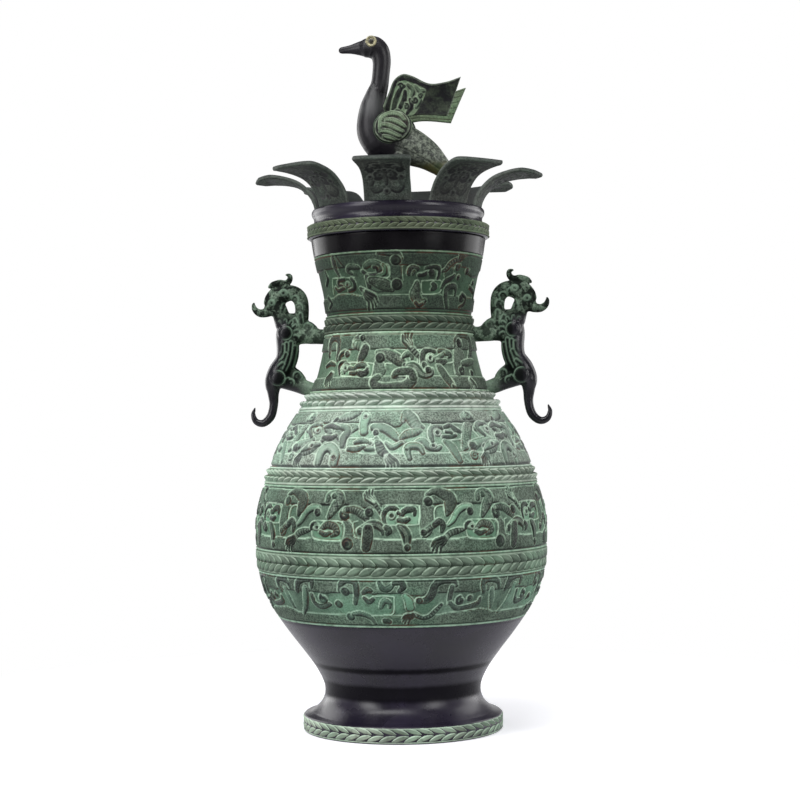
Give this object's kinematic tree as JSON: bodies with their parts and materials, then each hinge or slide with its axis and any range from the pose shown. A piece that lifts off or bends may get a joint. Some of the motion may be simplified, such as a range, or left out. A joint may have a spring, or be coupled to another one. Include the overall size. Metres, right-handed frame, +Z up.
{
  "type": "bronze ritual wine vessel",
  "caption": "Pear-shaped bronze vessel on a ring foot, with interlaced beast bands, rope borders, beast handles and a lifting lid of lotus petals round a standing crane.",
  "frame": {"origin": "middle of the ring foot, on the surface that the vessel stands on", "axes": "+Z up, +X through the right handle, +Y towards the back, so the crane looks towards -X"},
  "size_m": [0.1984, 0.1892, 0.4501],
  "materials": {
    "patinated_bronze": "cast bronze with a matt grey-green patina, darker in the smooth zones",
    "handle_bronze": "cast bronze, dark and rubbed on the high spots, green in the engraved lines",
    "black_bronze": "smooth black-brown bronze with a soft sheen",
    "petal_bronze": "dark bronze with grey-green relief",
    "wing_bronze": "dark bronze with light green and yellow-green in the relief",
    "eye_gilt": "dull pale gilt",
    "plain_bronze": "plain bronze, unpatinated"
  },
  "bodies": {
    "vessel": {"vessel_body": "patinated_bronze", "right_handle": "handle_bronze", "left_handle": "handle_bronze", "right_upper_handle_rivet": "plain_bronze", "right_lower_handle_rivet": "plain_bronze", "left_upper_handle_rivet": "plain_bronze", "left_lower_handle_rivet": "plain_bronze"},
    "lid": {"lid_body": "black_bronze", "petal_1": "petal_bronze", "petal_2": "petal_bronze", "petal_3": "petal_bronze", "petal_4": "petal_bronze", "petal_5": "petal_bronze", "petal_6": "petal_bronze", "petal_7": "petal_bronze", "petal_8": "petal_bronze", "crane_body": "black_bronze", "crane_left_wing": "wing_bronze", "crane_left_eye": "eye_gilt", "crane_left_leg": "black_bronze", "crane_left_leg_washer": "plain_bronze", "crane_right_wing": "wing_bronze", "crane_right_eye": "eye_gilt", "crane_right_leg": "black_bronze", "crane_right_leg_washer": "plain_bronze"}
  },
  "joints": [
    {"name": "lid_lift", "type": "slide", "parent": "vessel", "child": "lid", "axis": [0, 0, 1], "range_m": [0, 0.12]}
  ]
}
